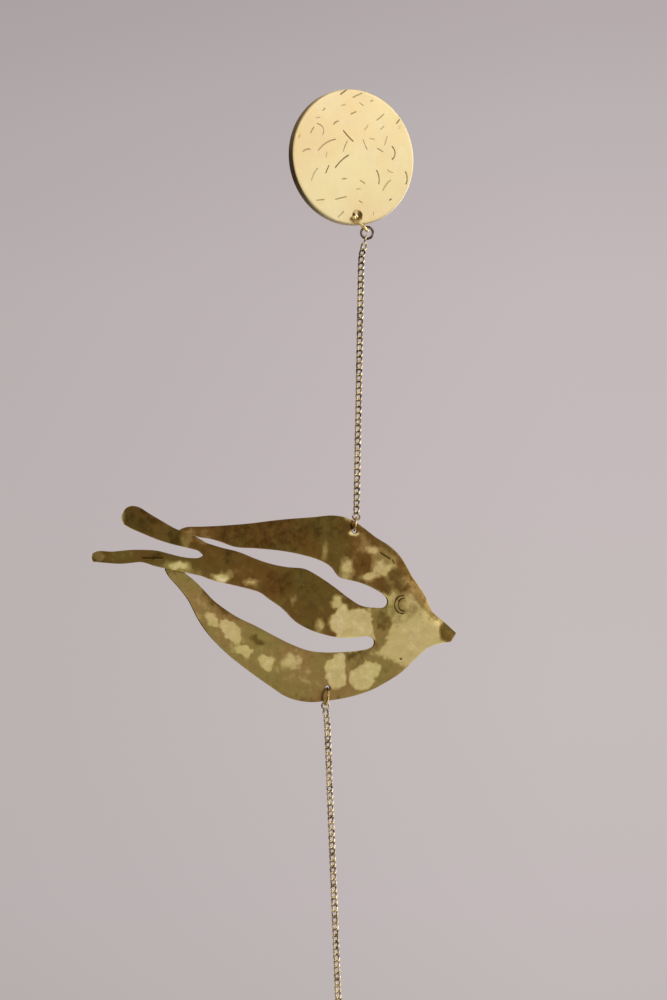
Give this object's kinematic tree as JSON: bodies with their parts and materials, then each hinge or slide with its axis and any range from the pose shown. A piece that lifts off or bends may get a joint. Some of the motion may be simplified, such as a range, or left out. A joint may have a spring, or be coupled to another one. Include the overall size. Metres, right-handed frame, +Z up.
{
  "type": "crystal suncatcher",
  "caption": "Hanging suncatcher: thick round brass disc, curb chain, cut and hammered brass sheet bird, lower chain and clear faceted crystal drop.",
  "frame": {"origin": "middle of the disc's flat back face, where the hidden fixing holds the part", "axes": "+Z up, -Y out of the disc's front face towards the viewer, +X to the viewer's right"},
  "size_m": [0.1316, 0.0124, 0.3483],
  "materials": {
    "brass_disc": "satin, tumbled, with stamped strokes",
    "brass_sheet": "hammered and polished",
    "brass_wire": "polished wire",
    "brass_chain": "antiqued and polished",
    "crystal_glass": "clear cut facets"
  },
  "bodies": {
    "root": {"disc": "brass_disc", "disc_ring": "brass_wire", "chain_top_ring": "brass_wire", "upper_chain": "brass_chain", "bird_top_ring": "brass_wire", "bird": "brass_sheet", "bird_bottom_ring": "brass_wire", "lower_chain": "brass_chain", "crystal_ring": "brass_wire", "crystal": "crystal_glass"}
  },
  "joints": []
}
